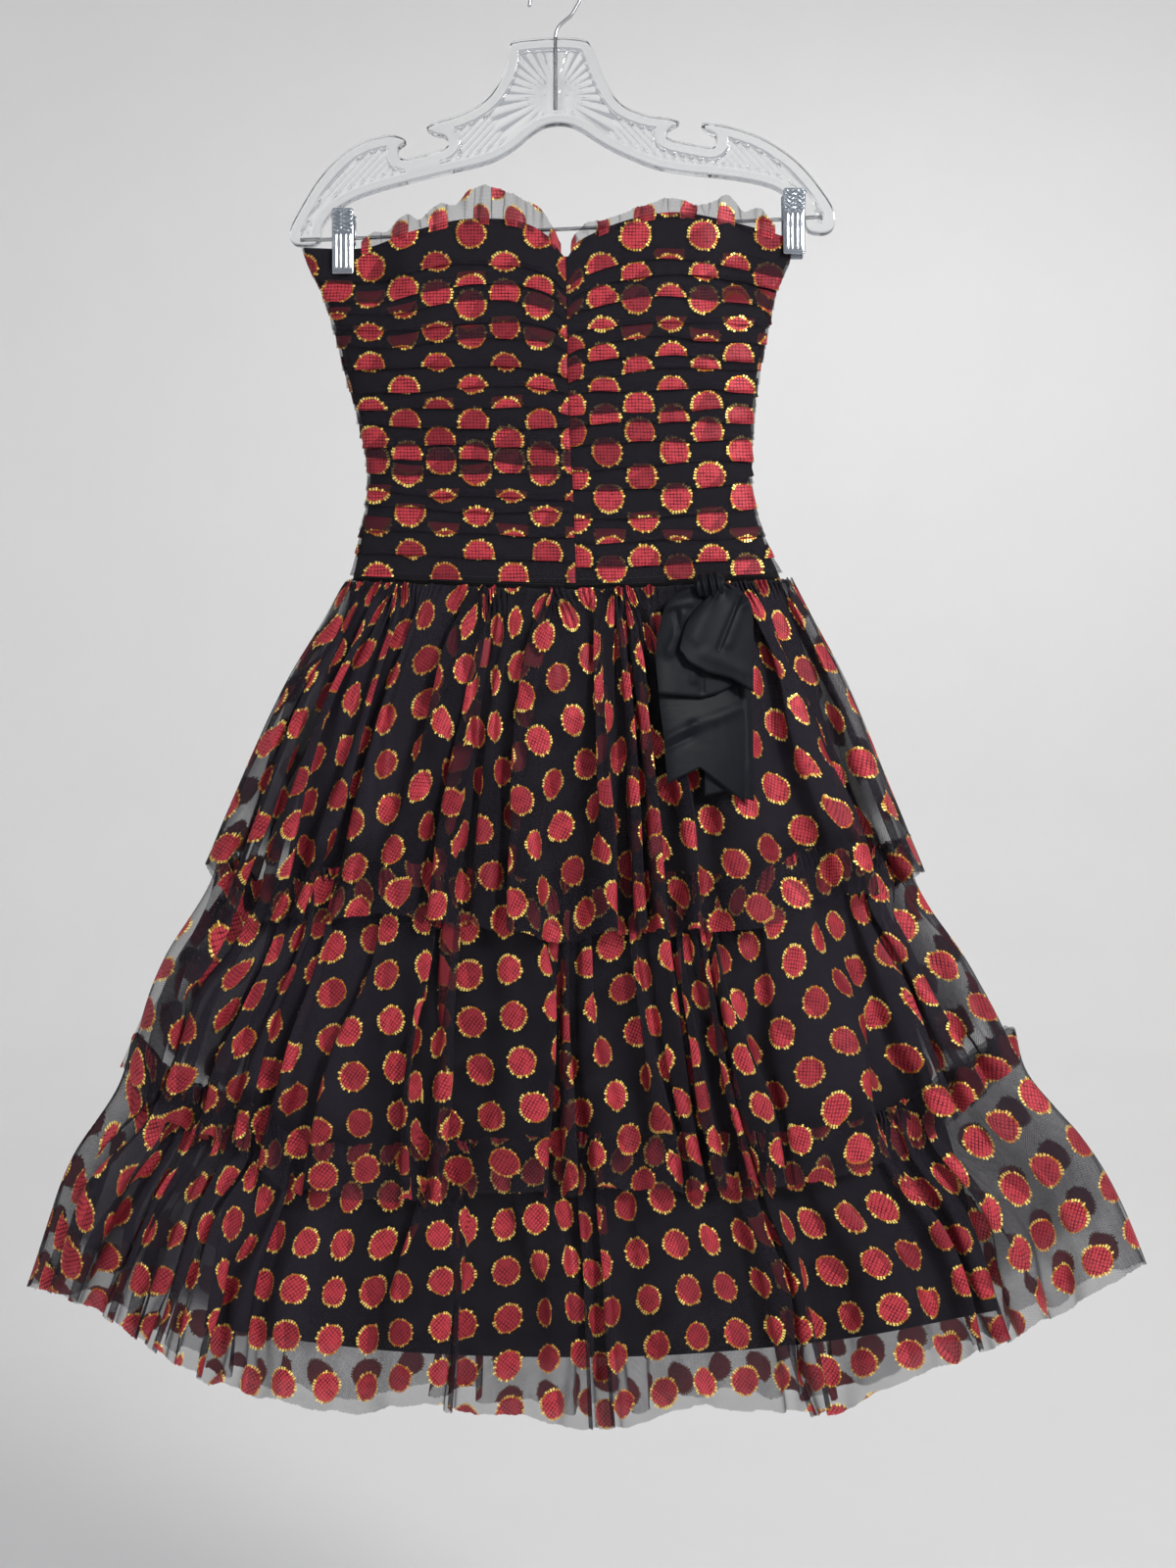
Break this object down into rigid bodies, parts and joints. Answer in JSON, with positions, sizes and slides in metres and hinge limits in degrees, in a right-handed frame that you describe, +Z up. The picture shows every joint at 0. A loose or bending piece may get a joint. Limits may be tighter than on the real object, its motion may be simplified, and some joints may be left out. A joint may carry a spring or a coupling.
{
  "type": "strapless party dress on a clear skirt hanger",
  "caption": "Strapless party dress with a tucked, dotted net bodice, gathered net tiers and a satin hip bow, held by the clips of a clear hanger that hooks on a rail.",
  "frame": {"origin": "the underside of the hanger hook's arc, where a rail holds it", "axes": "+Z up, -Y towards the viewer of the dress's front, +X towards the wearer's left"},
  "size_m": [0.893, 0.1017, 1.1693],
  "materials": {
    "red_net": "soft net with gold rings",
    "black_lining": "plain matt",
    "black_satin": "soft sheen",
    "zip_chain": "moulded teeth",
    "steel": "bright",
    "clip_steel": "polished",
    "clear_plastic": "clear, faceted"
  },
  "bodies": {
    "dress_and_hanger": {"bodice_front_right": "red_net", "bodice_front_left": "red_net", "bodice_back_right": "red_net", "bodice_back_left": "red_net", "neck_ruffle_front_right": "red_net", "neck_ruffle_front_left": "red_net", "neck_ruffle_back_right": "red_net", "neck_ruffle_back_left": "red_net", "tier_1_front": "red_net", "tier_1_back": "red_net", "tier_2_front": "red_net", "tier_2_back": "red_net", "tier_3_front": "red_net", "tier_3_back": "red_net", "bodice_lining_front": "black_lining", "bodice_lining_back_right": "black_lining", "bodice_lining_back_left": "black_lining", "skirt_lining_front": "black_lining", "skirt_lining_back": "black_lining", "bow_loop_inner": "black_satin", "bow_loop_outer": "black_satin", "bow_tail_front": "black_satin", "bow_tail_back": "black_satin", "bow_knot": "black_satin", "back_zip": "zip_chain", "zip_slider": "steel", "hanger_hook": "steel", "hanger_bar": "steel", "clip_right_front": "clip_steel", "clip_right_back": "clip_steel", "clip_right_spring": "clip_steel", "clip_left_front": "clip_steel", "clip_left_back": "clip_steel", "clip_left_spring": "clip_steel", "hanger_body": "clear_plastic"},
    "pull": {"zip_pull": "steel"}
  },
  "joints": [
    {"name": "zip_pull_hinge", "type": "hinge", "parent": "dress_and_hanger", "child": "pull", "pos_m": [0.00879, 0.01527, -0.252], "axis": [1, 0, 0], "range_deg": [0, 160]}
  ]
}
